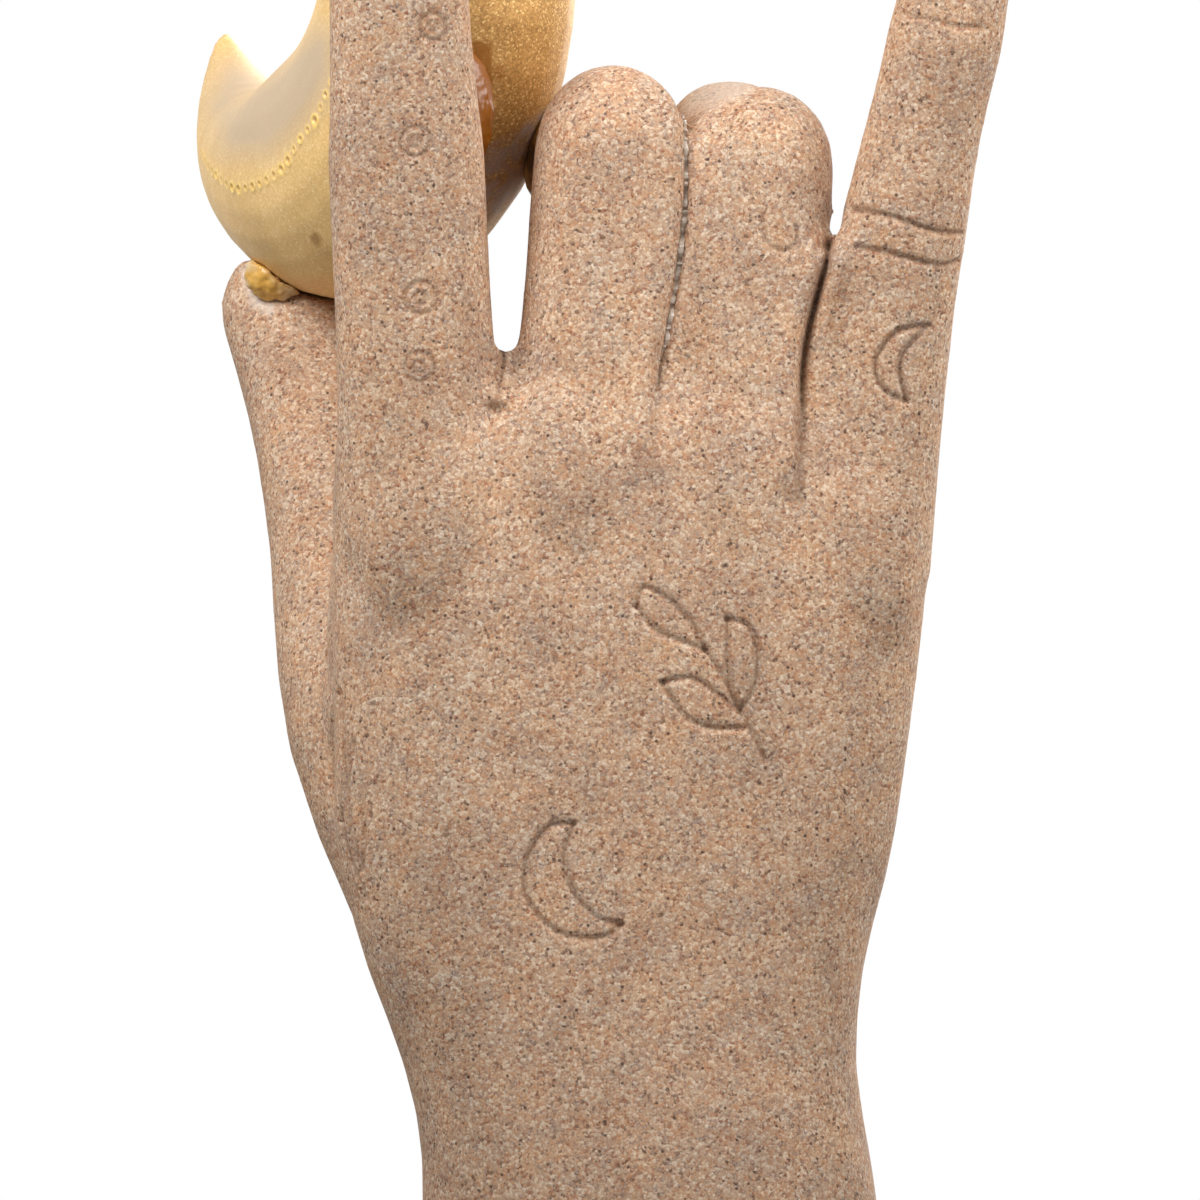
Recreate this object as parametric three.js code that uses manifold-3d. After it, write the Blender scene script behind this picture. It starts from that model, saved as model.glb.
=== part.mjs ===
// A right hand and forearm in cast resin, seen from the back of the hand, pinching a gold crescent moon.
// Millimetres, +Z up. The back of the hand faces -Y, and the thumb is on the -X side.
// The origin is the middle of the underside, where the felt pad stands on the table.
import * as THREE from 'three';
import { mergeVertices } from 'three/addons/utils/BufferGeometryUtils.js';
import Module from 'manifold-3d';

const wasm = await Module();
wasm.setup();

// Driving dimensions
const clearance = 0.3; // between pieces that touch
const feltThickness = 2;
const feltInset = 2;
const plugThickness = 6;
const wallThickness = 9; // of the hollow casting
const hollowTop = 98;
const castingBottom = feltThickness + clearance;

// Height, left and right outline, back and palm side of the forearm and palm, from the base to the knuckles
const armAndPalm = {
  base: { height: castingBottom, left: -33, right: 33, back: -27, palm: 27 },
  lowerForearm: { height: 28, left: -30.5, right: 31.8, back: -25.5, palm: 25 },
  upperForearm: { height: 52, left: -28.4, right: 30.2, back: -23.5, palm: 23 },
  wrist: { height: 68, left: -28, right: 28.2, back: -21.5, palm: 21 },
  wristCrease: { height: 80, left: -30.4, right: 26.5, back: -19.5, palm: 19 },
  heel: { height: 92, left: -35, right: 27.6, back: -18, palm: 17.8 },
  lowerPalm: { height: 106, left: -38.6, right: 30.9, back: -17, palm: 16 },
  middlePalm: { height: 120, left: -39, right: 33, back: -16.4, palm: 13.5 },
  upperPalm: { height: 134, left: -39.2, right: 34.8, back: -16, palm: 12 },
  knuckles: { height: 147, left: -39.2, right: 35.8, back: -15, palm: 11 },
  fingerRoots: { height: 157, left: -38.9, right: 35.4, back: -13.2, palm: 8.4 },
  webs: { height: 164, left: -37, right: 33.4, back: -10.2, palm: 5 },
  webEdge: { height: 168, left: -31, right: 30, back: -6.6, palm: 2 },
};
const palmSquareness = 2.5;
const fingerSquareness = 2.15;

// Each finger as the centres of its joints, and its full width and depth there
const indexFinger = {
  joints: [[-27.6, -4.2, 146], [-29.9, -7.2, 193], [-30.9, -10, 218.5], [-31.5, -12, 235.5]],
  widths: [22, 19.8, 17.6, 15.4],
  depths: [21, 17.8, 15, 12.6],
};
const middleFinger = {
  joints: [[-8, -4.4, 147], [-4.2, -1.6, 193.8], [-4.6, 21.5, 188], [-4, 17.6, 176]],
  widths: [21, 19.4, 17.4, 15.4],
  depths: [22, 19.4, 17, 14],
};
const ringFinger = {
  joints: [[11.3, -4, 145], [14.2, -1, 191.6], [10.6, 21, 194.8], [11.4, 20, 181.6]],
  widths: [20, 19, 16.8, 14.8],
  depths: [21, 18.6, 16.4, 13.6],
};
const littleFinger = {
  joints: [[27, -2.6, 142], [32.6, -4.4, 185], [37.6, -5.6, 208], [42.8, -6.4, 231.5]],
  widths: [17.8, 15.8, 14.6, 12.8],
  depths: [19, 14.6, 13, 11.2],
};
const thumb = {
  joints: [[-15, 6, 84], [-32.8, 18, 122], [-38, 32.5, 152], [-44, 46.2, 174.4]],
  widths: [31, 25, 20.8, 19.4],
  depths: [25, 24, 19.4, 16.4],
};
const shaftWaist = 0.04; // how much a finger narrows between two joints, as a share of its width
const tipLength = 1.12; // a fingertip's dome, in half depths

// The muscles of the palm, as lengths of the same form: at the thumb's root and below the little finger
const palmMuscles = {
  thumbSide: {
    joints: [[-8, 2, 78], [-17, 6.6, 102], [-27, 8, 126]],
    widths: [26, 37, 28],
    depths: [20, 29, 20],
  },
  littleFingerSide: {
    joints: [[9, 0, 78], [13, 4, 104], [15, -2, 136]],
    widths: [26, 31, 28],
    depths: [20, 27, 22],
  },
};

// Soft mounds: the webs between thumb and fingers, the pad under the fingers, and the four knuckles
const mounds = {
  thumbWeb: { at: [-31.5, 7, 134], half: [8.6, 13, 24] },
  indexMiddleWeb: { at: [-17.7, -2, 158], half: [4, 7.6, 10.8] },
  middleRingWeb: { at: [4.8, -3, 174], half: [3.8, 5.8, 22] },
  ringLittleWeb: { at: [22.6, -1.6, 165], half: [3.6, 6.4, 16] },
  fingerPad: { at: [-1, 3.6, 146], half: [35, 9.2, 22] },
  indexKnuckle: { at: [-26.4, -9.8, 148], half: [10, 5.4, 18] },
  middleKnuckle: { at: [-8, -10.2, 150], half: [10.5, 5.6, 18] },
  ringKnuckle: { at: [11, -9.8, 148], half: [10, 5.4, 18] },
  littleKnuckle: { at: [26, -8, 143], half: [8.6, 5.2, 17] },
};

// Nails, each on the side of the fingertip that the direction names
const nailLength = 13;
const nailThickness = 2.2;
const nailRise = 0.5; // of its middle above the fingertip
const nailWidthShare = 0.74; // of the fingertip's width
const nails = [
  { finger: indexFinger, facing: [0, -1, 0] },
  { finger: littleFinger, facing: [0, -1, 0] },
  { finger: middleFinger, facing: [0, 1, 0] },
  { finger: ringFinger, facing: [0, 1, 0] },
  { finger: thumb, facing: [-0.45, 1, -0.2] },
];

// Crescent moon: the room between two circles, with rounded sides and a horn at each end
const moonRadius = 39; // of its outer edge
const moonWidth = 36; // at its thickest, along the radius
const moonThickness = 31; // at its thickest, from side to side
const moonHornAngle = 135; // degrees from its thickest place to each horn
const moonHornRadius = 0.35; // of the point of each horn
const moonFullness = 0.74; // below 1 the sides stay full for longer towards the horns
const moonRoll = -38; // degrees that its thickest place lies below its level axis
const moonTurn = -61.8; // degrees about the upright
const moonTip = 4.7; // degrees about its own level axis
const moonRight = -8.5; // it leans on the middle finger here
const moonBack = -1.6; // on the index finger here
const moonBottom = 175.2; // and rests on the thumb here

// Pin and adhesive
const dowelDiameter = 3;
const dowelLength = 18;
const dowelLean = -12; // degrees from upright, along the thumb
const dowelAt = [-45, 46, 180];
// Beads between moon and hand: the direction from the moon's centre, in moon radii, and the half sizes
const moonGlue = {
  thumb_glue: { towards: [-0.29, 0.1, -0.92], half: [4.4, 3.4, 3.4] },
  index_glue: { towards: [0.3, -0.9, -0.4], half: [4, 3, 8] },
  middle_finger_glue: { towards: [0.57, -0.52, -0.5], half: [3, 6, 8] },
};
const seamGlue = { at: [5, -9, 184], half: [1.2, 1.6, 14] }; // between middle and ring finger

const pointsRoundArm = 36;
const pointsRoundFinger = 20;
const pointsRoundMoon = 28;
const stepsAlongMoon = 40;

const radians = THREE.MathUtils.degToRad;

// A closed superellipse: squareness 2 is an ellipse, and more is squarer
function section(centre, side, depth, count, squareness = 2) {
  const points = [];
  for (let i = 0; i < count; i++) {
    const angle = (2 * Math.PI * i) / count;
    const c = Math.cos(angle);
    const s = Math.sin(angle);
    const across = Math.sign(c) * Math.abs(c) ** (2 / squareness);
    const through = Math.sign(s) * Math.abs(s) ** (2 / squareness);
    points.push(centre.clone().addScaledVector(side, across).addScaledVector(depth, through));
  }
  return points;
}

// A closed skin over a row of sections, with a fan of triangles at each end
function loft(sections) {
  const count = sections[0].length;
  const positions = [];
  const triangle = (a, b, c) => positions.push(...a.toArray(), ...b.toArray(), ...c.toArray());
  for (let j = 0; j + 1 < sections.length; j++) {
    for (let i = 0; i < count; i++) {
      const next = (i + 1) % count;
      const [a, b] = [sections[j][i], sections[j][next]];
      const [c, d] = [sections[j + 1][i], sections[j + 1][next]];
      triangle(a, b, d);
      triangle(a, d, c);
    }
  }
  const middle = (points) => points.reduce((sum, p) => sum.add(p), new THREE.Vector3()).divideScalar(count);
  const last = sections[sections.length - 1];
  const [startMiddle, endMiddle] = [middle(sections[0]), middle(last)];
  for (let i = 0; i < count; i++) {
    const next = (i + 1) % count;
    triangle(startMiddle, sections[0][next], sections[0][i]);
    triangle(endMiddle, last[i], last[next]);
  }
  const geometry = new THREE.BufferGeometry();
  geometry.setAttribute('position', new THREE.Float32BufferAttribute(positions, 3));
  return geometry;
}

function solidOf(geometry, matrix = new THREE.Matrix4()) {
  const plain = new THREE.BufferGeometry();
  const source = geometry.index ? geometry.toNonIndexed() : geometry;
  plain.setAttribute('position', source.getAttribute('position').clone());
  plain.applyMatrix4(matrix);
  const merged = mergeVertices(plain, 1e-4);
  const mesh = { numProp: 3, vertProperties: merged.attributes.position.array };
  mesh.triVerts = new Uint32Array(merged.index.array);
  return new wasm.Manifold(new wasm.Mesh(mesh));
}

function geometryOf(solid) {
  const mesh = solid.getMesh();
  const geometry = new THREE.BufferGeometry();
  geometry.setAttribute('position', new THREE.BufferAttribute(mesh.vertProperties, 3));
  geometry.setIndex(new THREE.BufferAttribute(mesh.triVerts, 1));
  return geometry;
}

const shifted = (geometry, x, y, z) => solidOf(geometry, new THREE.Matrix4().makeTranslation(x, y, z));

// Cuts a neighbour out of a piece and leaves the clearance all round it
function cutClear(solid, neighbour) {
  let cut = solid;
  for (const axis of [0, 1, 2]) {
    for (const way of [-clearance, clearance]) {
      const move = [0, 0, 0];
      move[axis] = way;
      cut = cut.subtract(shifted(neighbour, ...move));
    }
  }
  return cut;
}

// A length of finger through its joints: tapered, slightly waisted between them, with a dome at each end
function fingerLength({ joints, widths, depths, startShrink }) {
  const centres = joints.map((at) => new THREE.Vector3(...at));
  const path = new THREE.CatmullRomCurve3(centres, false, 'centripetal');
  const spans = joints.length - 1;
  const domeSteps = 4;
  const stepsPerSpan = 4;
  const rings = [];
  const ring = (centre, axis, width, depth) => {
    const side = new THREE.Vector3(1, 0, 0).addScaledVector(axis, -axis.x).normalize();
    const through = axis.clone().cross(side);
    side.multiplyScalar(width / 2);
    through.multiplyScalar(depth / 2);
    rings.push(section(centre, side, through, pointsRoundFinger, fingerSquareness));
  };
  const startAxis = path.getTangent(0);
  for (let i = domeSteps; i > 0; i--) {
    const angle = (Math.PI / 2) * (i / (domeSteps + 0.4));
    const shrink = Math.cos(angle) * startShrink;
    const back = centres[0].clone().addScaledVector(startAxis, (-Math.sin(angle) * depths[0] * startShrink) / 2);
    ring(back, startAxis, widths[0] * shrink, depths[0] * shrink);
  }
  for (let i = 0; i <= spans * stepsPerSpan; i++) {
    const along = i / stepsPerSpan;
    const span = Math.min(Math.floor(along), spans - 1);
    const t = along - span;
    const waist = 1 - shaftWaist * Math.sin(Math.PI * t);
    const start = along < 1 ? THREE.MathUtils.lerp(startShrink, 1, along) : 1;
    const width = THREE.MathUtils.lerp(widths[span], widths[span + 1], t) * waist * start;
    const depth = THREE.MathUtils.lerp(depths[span], depths[span + 1], t) * waist * start;
    ring(path.getPoint(along / spans), path.getTangent(along / spans), width, depth);
  }
  const endAxis = path.getTangent(1);
  for (let i = 1; i <= domeSteps; i++) {
    const angle = (Math.PI / 2) * (i / (domeSteps + 0.4));
    const ahead = centres[spans].clone().addScaledVector(endAxis, (Math.sin(angle) * depths[spans] * tipLength) / 2);
    ring(ahead, endAxis, widths[spans] * Math.cos(angle), depths[spans] * Math.cos(angle));
  }
  return solidOf(loft(rings));
}

const straightFinger = (finger) => fingerLength({ ...finger, startShrink: 1 });

// Three lengths that meet at the knuckles, each later one starting just inside the one before
function foldedFinger({ joints, widths, depths }) {
  const lengths = [0, 1, 2].map((i) =>
    fingerLength({
      joints: joints.slice(i, i + 2),
      widths: widths.slice(i, i + 2),
      depths: depths.slice(i, i + 2),
      startShrink: i === 0 ? 1 : 0.95,
    }),
  );
  return lengths[0].add(lengths[1]).add(lengths[2]);
}

function mound({ at, half }) {
  const ball = new THREE.SphereGeometry(1, 16, 9);
  ball.scale(...half);
  ball.translate(...at);
  return solidOf(ball);
}

// A thin oval plate let into the fingertip, along its last joint's direction
function nail({ finger, facing }) {
  const [before, end] = finger.joints.slice(-2).map((at) => new THREE.Vector3(...at));
  const axis = end.clone().sub(before).normalize();
  const out = new THREE.Vector3(...facing);
  out.addScaledVector(axis, -out.dot(axis)).normalize();
  const [width, depth] = [finger.widths.at(-1), finger.depths.at(-1)];
  const plate = new THREE.SphereGeometry(1, 16, 8);
  plate.scale((width * nailWidthShare) / 2, nailThickness, nailLength / 2);
  const matrix = new THREE.Matrix4().makeBasis(out.clone().cross(axis), out, axis);
  matrix.setPosition(end.clone().addScaledVector(out, depth / 2 + nailRise - nailThickness));
  return solidOf(plate, matrix);
}

// The forearm and palm at a height, drawn in by an inset
function armSection(height, inset) {
  const edge = (low, high) => {
    const points = Object.values(armAndPalm).map((row) => new THREE.Vector3(row[low], row[high], row.height));
    return new THREE.CatmullRomCurve3(points, false, 'catmullrom', 0.5);
  };
  const leftBack = edge('left', 'back');
  const rightPalm = edge('right', 'palm');
  let [low, high] = [0, 1];
  for (let i = 0; i < 24; i++) {
    const half = (low + high) / 2;
    if (leftBack.getPoint(half).z < height) low = half;
    else high = half;
  }
  const [a, b] = [leftBack.getPoint(low), rightPalm.getPoint(low)];
  const centre = new THREE.Vector3((a.x + b.x) / 2, (a.y + b.y) / 2, height);
  const side = new THREE.Vector3((b.x - a.x) / 2 - inset, 0, 0);
  const depth = new THREE.Vector3(0, (b.y - a.y) / 2 - inset, 0);
  return section(centre, side, depth, pointsRoundArm, palmSquareness);
}

function armLoft(bottom, top, step, inset) {
  const rings = [];
  const count = Math.max(1, Math.round((top - bottom) / step));
  for (let i = 0; i <= count; i++) rings.push(armSection(bottom + ((top - bottom) * i) / count, inset));
  return rings;
}

// The casting: forearm, palm, mounds and fingers joined, then hollowed from below
function makeHandCasting() {
  let hand = solidOf(loft(armLoft(castingBottom, armAndPalm.webEdge.height, 6, 0)));
  for (const each of [indexFinger, littleFinger, thumb]) hand = hand.add(straightFinger(each));
  for (const each of [middleFinger, ringFinger]) hand = hand.add(foldedFinger(each));
  for (const each of Object.values(palmMuscles)) hand = hand.add(straightFinger(each));
  for (const each of Object.values(mounds)) hand = hand.add(mound(each));
  for (const each of nails) hand = hand.add(nail(each));
  const hollow = armLoft(castingBottom, hollowTop, 14, wallThickness);
  const belowTheBase = hollow[0].map((p) => p.clone().setZ(castingBottom - 1));
  return hand.subtract(solidOf(loft([belowTheBase, ...hollow])));
}

// The closing plate seats in the mouth of the hollow, flush with the casting's underside
function makeBasePlug() {
  return loft(armLoft(castingBottom, castingBottom + plugThickness, plugThickness, wallThickness + clearance));
}

function makeFeltPad() {
  const outline = armSection(castingBottom, feltInset);
  return loft([0, feltThickness].map((height) => outline.map((p) => p.clone().setZ(height))));
}

function makeMoon() {
  const horn = radians(moonHornAngle);
  const bridge = moonRadius - moonWidth; // from the outer circle's centre to the inner edge
  const biteOffset = (moonRadius ** 2 - bridge ** 2) / (2 * (bridge - moonRadius * Math.cos(horn)));
  const biteRadius = bridge + biteOffset;
  const rings = [];
  for (let i = 0; i <= stepsAlongMoon; i++) {
    const swing = -horn * Math.cos((Math.PI * i) / stepsAlongMoon);
    const reach = Math.sqrt(Math.max(0, biteRadius ** 2 - (biteOffset * Math.sin(swing)) ** 2));
    const innerEdge = Math.min(moonRadius, reach - biteOffset * Math.cos(swing));
    const share = (moonRadius - innerEdge) / moonWidth;
    const angle = radians(moonRoll) + swing;
    const outward = new THREE.Vector3(Math.cos(angle), 0, Math.sin(angle));
    const centre = outward.clone().multiplyScalar((moonRadius + innerEdge) / 2);
    const across = outward.multiplyScalar((moonWidth / 2) * share + moonHornRadius);
    const through = new THREE.Vector3(0, (moonThickness / 2) * share ** moonFullness + moonHornRadius, 0);
    rings.push(section(centre, across, through, pointsRoundMoon));
  }
  return loft(rings);
}

function makeDowel(diameter, length) {
  const dowel = new THREE.CylinderGeometry(diameter / 2, diameter / 2, length, 20);
  return dowel.rotateX(Math.PI / 2);
}

function dowelMatrix() {
  return new THREE.Matrix4().makeRotationX(radians(dowelLean)).setPosition(...dowelAt);
}

const finishes = {
  hand_casting: { color: 0xbd9a7e, roughness: 0.92, metalness: 0 },
  crescent_moon: { color: 0xc9a66b, roughness: 0.38, metalness: 0.85 },
  moon_dowel: { color: 0x9a9c9e, roughness: 0.35, metalness: 1 },
  thumb_glue: { color: 0xe6ddcf, roughness: 0.4, metalness: 0 },
  index_glue: { color: 0xa0661c, roughness: 0.3, metalness: 0 },
  middle_finger_glue: { color: 0x7a5a3a, roughness: 0.4, metalness: 0 },
  finger_seam_glue: { color: 0xeae6de, roughness: 0.15, metalness: 0 },
  base_plug: { color: 0xb8977c, roughness: 0.9, metalness: 0 },
  felt_base_pad: { color: 0x3a352f, roughness: 1, metalness: 0 },
};

const sculpture = new THREE.Group();

function place(name, geometry) {
  geometry.computeVertexNormals();
  const mesh = new THREE.Mesh(geometry, new THREE.MeshStandardMaterial(finishes[name]));
  mesh.name = name;
  sculpture.add(mesh);
  return mesh;
}

const moonRotation = new THREE.Euler(-radians(moonTip), 0, radians(moonTurn), 'ZYX');
const moonAlone = makeMoon();
const turned = moonAlone.clone().applyMatrix4(new THREE.Matrix4().makeRotationFromEuler(moonRotation));
turned.computeBoundingBox();
const { min: lowest, max: highest } = turned.boundingBox;
const moonCentre = new THREE.Vector3(moonRight - highest.x, moonBack - lowest.y, moonBottom - lowest.z);
const moonMatrix = new THREE.Matrix4().makeRotationFromEuler(moonRotation).setPosition(moonCentre);
const dowelHole = makeDowel(dowelDiameter + 2 * clearance, dowelLength + 2 * clearance);
const dowelHoleSolid = solidOf(dowelHole, dowelMatrix());
const moonBeforeDrilling = solidOf(moonAlone, moonMatrix);
const moonRoom = geometryOf(moonBeforeDrilling);
const moonGeometry = geometryOf(moonBeforeDrilling.subtract(dowelHoleSolid));
const handGeometry = geometryOf(cutClear(makeHandCasting(), moonRoom).subtract(dowelHoleSolid));

place('hand_casting', handGeometry);
const moon = place('crescent_moon', moonGeometry.clone().applyMatrix4(moonMatrix.clone().invert()));
moon.position.copy(moonCentre);
moon.rotation.copy(moonRotation);
const dowel = place('moon_dowel', makeDowel(dowelDiameter, dowelLength));
dowel.position.set(...dowelAt);
dowel.rotation.x = radians(dowelLean);
function placeGlue(name, { at, half }) {
  const bead = cutClear(cutClear(mound({ at, half }), handGeometry), moonRoom);
  place(name, geometryOf(bead.subtract(dowelHoleSolid)));
}

for (const [name, { towards, half }] of Object.entries(moonGlue)) {
  const at = new THREE.Vector3(...towards).multiplyScalar(moonRadius).add(moonCentre);
  placeGlue(name, { at: at.toArray(), half });
}
placeGlue('finger_seam_glue', seamGlue);
place('base_plug', makeBasePlug());
place('felt_base_pad', makeFeltPad());

export default sculpture;
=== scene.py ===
"""Looks of the resin hand sculpture: sand-textured resin, satin gold moon, adhesive and felt.

Metres, in the frame of the CAD model: +Z up, the back of the hand faces -Y, the thumb is at -X.
"""

import math

import bmesh
import bpy
import numpy as np
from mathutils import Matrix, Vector, noise
from mathutils.bvhtree import BVHTree
from mathutils.kdtree import KDTree


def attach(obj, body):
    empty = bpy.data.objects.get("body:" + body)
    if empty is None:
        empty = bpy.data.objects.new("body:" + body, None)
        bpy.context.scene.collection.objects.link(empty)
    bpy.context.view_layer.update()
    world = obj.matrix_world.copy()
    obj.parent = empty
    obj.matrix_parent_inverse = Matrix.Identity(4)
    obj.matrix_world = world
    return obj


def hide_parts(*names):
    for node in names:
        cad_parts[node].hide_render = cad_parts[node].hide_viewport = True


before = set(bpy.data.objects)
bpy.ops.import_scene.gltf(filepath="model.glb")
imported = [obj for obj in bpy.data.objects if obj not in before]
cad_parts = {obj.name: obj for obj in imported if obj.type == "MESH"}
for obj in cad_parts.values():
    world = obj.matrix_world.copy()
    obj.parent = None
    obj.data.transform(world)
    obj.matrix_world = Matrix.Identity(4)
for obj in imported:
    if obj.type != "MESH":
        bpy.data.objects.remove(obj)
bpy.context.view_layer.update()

MM = 0.001

# The photograph's frame is 1200 pixels square, and 8 pixels are 1 mm at the back of the hand
PIXEL = 0.125 * MM
PIXEL_ZERO_X = 645
PIXEL_ZERO_Y = 1700
FRAME_MIDDLE = 600
FRAME_WIDTH = 1200 * PIXEL
HAND_BACK_Y = -14 * MM
FINGER_MIDDLE_Y = 2 * MM

CAMERA_DISTANCE = 5.0
CAMERA_CLIP_START = 0.05
SENSOR_MM = 36.0
CAMERA_SIDE = (0, -1, 0)
PALM_SIDE = (0, 1, 0)

# Name, place, target, diameter and watts of each lamp
LAMPS = [
    ("key", (-0.3, -0.25, 0.5), (0, 0, 0.21), 0.3, 2.9),
    ("fill", (0.38, -0.18, 0.46), (0, 0, 0.2), 0.35, 2.6),
    ("palm_side", (0.3, 0.65, 0.45), (0, 0, 0.14), 0.6, 4.5),
]

# The world's light, and the share of it that comes from straight below and straight above
WORLD_STRENGTH = 0.24
WORLD_BELOW_ABOVE = (0.2, 1.4)

# The colour that the camera sees, and the darker one that lights the object from below
FLOOR_COLOUR = (0.86, 0.86, 0.86)
FLOOR_BOUNCE = (0.2, 0.2, 0.2)
FLOOR_ROUGHNESS = 0.7
FLOOR_RADIUS = 0.6
FLOOR_SEGMENTS = 128
FLOOR_FADE = (0.3 * FLOOR_RADIUS, 0.95 * FLOOR_RADIUS)

# Corners of a CAD mesh closer than this are one corner
CORNER_GAP = 0.002 * MM
HAND_VOXEL = 0.85 * MM
MOON_VOXEL = 0.6 * MM
PAD_VOXEL = 0.7 * MM
GLUE_VOXEL = 0.2 * MM
GLUE_SWELL = 0.22 * MM

# Rays that look for the surface start here, in front of the whole object
RAY_START_Y = -0.2

# The power that shapes a groove's flank, and how far its painted shade reaches, in half widths
GROOVE_PROFILE = 1.2
GROOVE_SHADE_REACH = 1.25

# A cleft's rim is read between one reach and this many, from so many nearest points
RIM_REACH = 1.3
RIM_POINTS = 40
# The parts of a cleft's reach and length over which it blends into the skin
BLEND_ACROSS = 0.55
BLEND_ALONG = 0.12
# A cleft is evened out beyond this part of its reach, in so many rounds
EVEN_FROM = 0.5
EVEN_ROUNDS = 14

# Y of the normal: where a finger's front ends, where a note ends, and over how much it fades
FRONT_FACING = 0.1
NOTE_FACING = 0.3
NOTE_FADE = 0.6

# Cells per metre of the grain, the specks and the gold's flakes
COARSE_GRAIN = 2450
FINE_GRAIN = 4400
SPECK_CELLS = 1400
GOLD_FLAKES = 4200

# The crescent's centre and lie in the CAD frame, in degrees
MOON_CENTRE = (-34.73 * MM, 34.66 * MM, 214.42 * MM)
MOON_TURN = -61.8
MOON_TIP = 4.7
MOON_ROLL = -38.0

# The row of dots: small craters, whose reach and widths are in their own radii
DOT_SPACING = 2.1 * MM
DOT_RADIUS = 0.62 * MM
DOT_RAY_LENGTH = 40 * MM
DOT_REACH = 1.9
DOT_RIM_WIDTH = 0.32
DOT_PIT_WIDTH = 0.55
DOT_RIM_HEIGHT = 0.16 * MM
DOT_PIT_DEPTH = 0.22 * MM

# The strip of adhesive in the cleft: steps between two points, sides, widths and unevenness
SEAM_STEPS = 60
SEAM_SIDES = 16
SEAM_LEAST_WIDTH = 0.2 * MM
SEAM_MORE_WIDTH = 0.5 * MM
SEAM_END_WIDTH = 0.03 * MM
SEAM_WIDTH_WAVE = 1.7 * MM
SEAM_SWAY = 0.3 * MM
SEAM_SWAY_WAVE = 2.2 * MM
SEAM_ROUGHNESS = 0.5
SEAM_ROUGH_WAVE = 0.5 * MM
SEAM_THICKNESS = 0.55
SEAM_INSET = 0.3 * MM


# Places on the moon, as pixels of the photograph


MOON_DOTS = [
    (196, 146), (207, 165), (230, 184), (249, 183), (262, 178),
    (281, 165), (293, 145), (302, 132), (314, 117), (323, 95),
]
# The painted whitish sheen where the moon's face turns up to the light from above
MOON_PAINTED_SHEEN_AREA = [
    (228, 66), (262, 84), (318, 44), (318, 70), (292, 108), (262, 134), (232, 132), (218, 100),
]
# Painted shade: the moon's right side, turned from the light, in a deeper amber gold
MOON_PAINTED_SHADE_AREA = [(486, -60), (600, -60), (588, 0), (568, 92), (520, 150), (480, 215)]
# A dark amber strip on the moon along the index finger's right edge
INDEX_EDGE_AMBER_STRIP = [(472, 40), (489, 44), (491, 70), (487, 96), (484, 118), (474, 118)]
SMALL_STAIN = [(494, 64), (502, 66), (503, 76), (496, 78)]
MOON_DENT = [(313, 231), (318, 237), (315, 243), (310, 236)]
MOON_RESIDUE = [(484, 150), (520, 130), (552, 104), (560, 112), (534, 160), (508, 198), (486, 214)]


# Places on the hand, as pixels of the photograph


RING_FINGER_RESIDUE = [(684, 92), (700, 80), (735, 77), (744, 87), (715, 98), (690, 106)]
THUMB_RESIDUE = [(240, 268), (252, 262), (272, 288), (268, 310), (250, 300)]
HAND_MOON = [
    [
        (574, 823), (549, 827), (530, 852), (524, 883), (533, 909),
        (556, 931), (583, 938), (606, 936), (622, 924),
    ],
    [(574, 824), (566, 844), (564, 867), (572, 890), (587, 909), (602, 920), (622, 924)],
]
LEAF_SPRIG = [
    [(636, 606), (644, 588), (667, 599), (690, 622), (706, 651)],
    [(636, 606), (656, 630), (683, 642), (706, 651)],
    [(727, 619), (748, 626), (757, 653), (755, 684), (742, 710)],
    [(727, 619), (727, 661), (732, 691), (742, 710)],
    [(662, 683), (690, 678), (713, 691), (742, 715)],
    [(662, 683), (683, 714), (709, 728), (744, 728)],
    [(706, 648), (717, 668), (740, 710), (752, 733), (765, 760)],
]
FINGER_MOON = [
    [(929, 325), (897, 332), (877, 357), (877, 377), (889, 394), (908, 402)],
    [(925, 329), (904, 352), (900, 373), (906, 398)],
]
FINGER_BAND = [
    [(852, 208), (889, 216), (935, 231), (962, 233)],
    [(856, 246), (889, 253), (918, 261), (947, 265), (968, 256)],
]
# The middle and the radius of each ring
INDEX_RINGS = [(421, 298, 16), (419, 367, 15), (415, 142, 15), (433, 27, 13)]
RING_FINGER_ARC = [[(763, 222), (766, 238), (775, 249), (788, 250), (797, 240), (796, 226)]]
LITTLE_TIP_BAND = [[(898, 12), (925, 18), (955, 26), (985, 28)]]
THUMB_LEAF = [
    [(338, 690), (331, 730), (333, 780), (340, 822)],
    [(338, 690), (343, 735), (344, 780), (340, 822)],
    [(352, 742), (347, 790), (352, 838), (362, 872)],
    [(352, 742), (361, 790), (364, 835), (362, 872)],
    [(340, 822), (351, 862), (366, 900)],
]
MIDDLE_RING_CLEFT = [
    (680, 84), (684, 124), (686, 166), (685, 207), (678, 270),
    (667, 332), (659, 373), (656, 415), (654, 490),
]
RING_LITTLE_CLEFT = [
    (829, 244), (828, 257), (819, 290), (808, 332), (802, 373), (801, 415), (800, 500),
]
INDEX_MIDDLE_CLEFT = [(503, 330), (503, 356), (501, 376), (498, 410)]
SEAM_GLUE = [(684, 112), (686, 160), (685, 207), (678, 270), (669, 325), (664, 352)]

# Creases on the palm side, as X and Z in millimetres
LIFE_LINE = [(-25, 147), (-13, 140), (-5, 127), (-2, 112), (-6, 96)]
HEAD_LINE = [(-26, 149), (-8, 144), (9, 134), (20, 122)]
HEART_LINE = [(33, 143), (18, 146), (2, 150), (-9, 160)]
WRIST_LINES = [[(-24, 77), (0, 74.6), (23, 77)], [(-22, 72), (0, 70), (22, 72)]]
INDEX_JOINT_LINES = [[(-37, 193), (-30, 191.6), (-23, 193)], [(-36, 219), (-31, 217.8), (-25, 219)]]
LITTLE_JOINT_LINES = [[(27, 186), (33, 184), (39, 184)], [(32, 209), (38, 207), (43, 207)]]

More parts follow.
